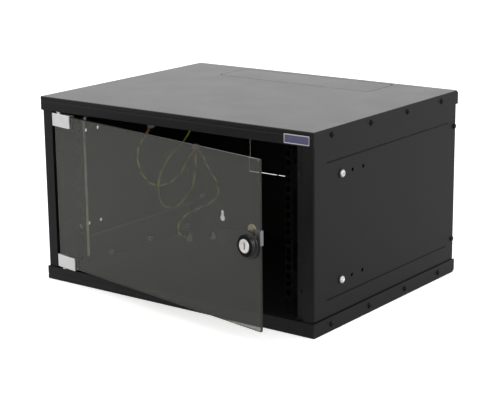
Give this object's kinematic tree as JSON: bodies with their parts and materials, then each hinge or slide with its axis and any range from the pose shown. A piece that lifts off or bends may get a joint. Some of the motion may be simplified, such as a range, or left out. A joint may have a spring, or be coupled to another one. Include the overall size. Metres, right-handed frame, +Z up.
{
  "type": "wall mount network cabinet",
  "caption": "Wall-hung 19-inch rack cabinet with folded steel panels, two rack rails, a smoked glass door on pivot clips and a cam lock.",
  "frame": {"origin": "centre of the underside of the bottom tray", "axes": "+Z up; the glass door faces -Y; the wall is on +Y; +X is the lock side"},
  "size_m": [0.606, 0.5729, 0.346],
  "materials": {
    "cabinet_paint": "fine-textured charcoal powder coat",
    "smoked_glass": "clear, lightly smoked toughened glass",
    "black_screw": "black oxide",
    "bright_zinc": "bright zinc plate",
    "yellow_zinc": "yellow-passivated zinc plate",
    "satin_nickel": "satin nickel plate",
    "lock_chrome": "polished chrome",
    "black_plastic": "moulded, satin",
    "white_plastic": "moulded, natural",
    "black_rubber": "matt",
    "earth_insulation": "green and yellow striped insulation",
    "terminal_sleeve": "insulated crimp sleeve and tinned eye"
  },
  "bodies": {
    "carcass": {"top_cover": "cabinet_paint", "bottom_tray": "cabinet_paint", "left_side_panel": "cabinet_paint", "right_side_panel": "cabinet_paint", "rear_panel": "cabinet_paint", "left_rack_rail": "cabinet_paint", "right_rack_rail": "cabinet_paint", "top_cover_screws": "black_screw", "bottom_tray_screws": "black_screw", "rear_panel_screws": "black_screw", "clinch_nuts": "bright_zinc", "rail_screws": "bright_zinc", "rail_cup_washers": "black_plastic", "rail_washers": "bright_zinc", "rail_nuts": "bright_zinc", "upper_pivot_bush": "white_plastic", "lower_pivot_bush": "white_plastic", "door_buffers": "black_rubber", "earth_studs": "bright_zinc", "earth_washers": "bright_zinc", "earth_nuts": "yellow_zinc", "side_panel_lead": "earth_insulation", "top_cover_lead": "earth_insulation", "bottom_tray_lead": "earth_insulation", "side_panel_lead_terminals": "terminal_sleeve", "top_cover_lead_terminals": "terminal_sleeve", "bottom_tray_lead_terminals": "terminal_sleeve"},
    "door": {"door_glass": "smoked_glass", "upper_hinge_clip": "satin_nickel", "lower_hinge_clip": "satin_nickel", "hinge_clip_pads": "black_rubber", "hinge_clip_screws": "bright_zinc", "upper_pivot_pin": "satin_nickel", "lower_pivot_pin": "satin_nickel", "lock_body": "black_plastic", "lock_gasket": "black_rubber", "lock_washer": "black_plastic", "lock_nut": "bright_zinc", "lock_edge_bracket": "satin_nickel", "lock_bracket_rivet": "bright_zinc"},
    "lock": {"lock_barrel": "lock_chrome", "lock_cam": "yellow_zinc", "lock_cam_screw": "bright_zinc"}
  },
  "joints": [
    {"name": "door_hinge", "type": "hinge", "parent": "carcass", "child": "door", "pos_m": [-0.2605, -0.23, 0.173], "axis": [0, 0, -1], "range_deg": [-10.4, 119.6]},
    {"name": "lock_turn", "type": "hinge", "parent": "door", "child": "lock", "pos_m": [0.2362, -0.32116, 0.172], "axis": [0.1805, 0.9836, 0], "range_deg": [0, 90]}
  ]
}
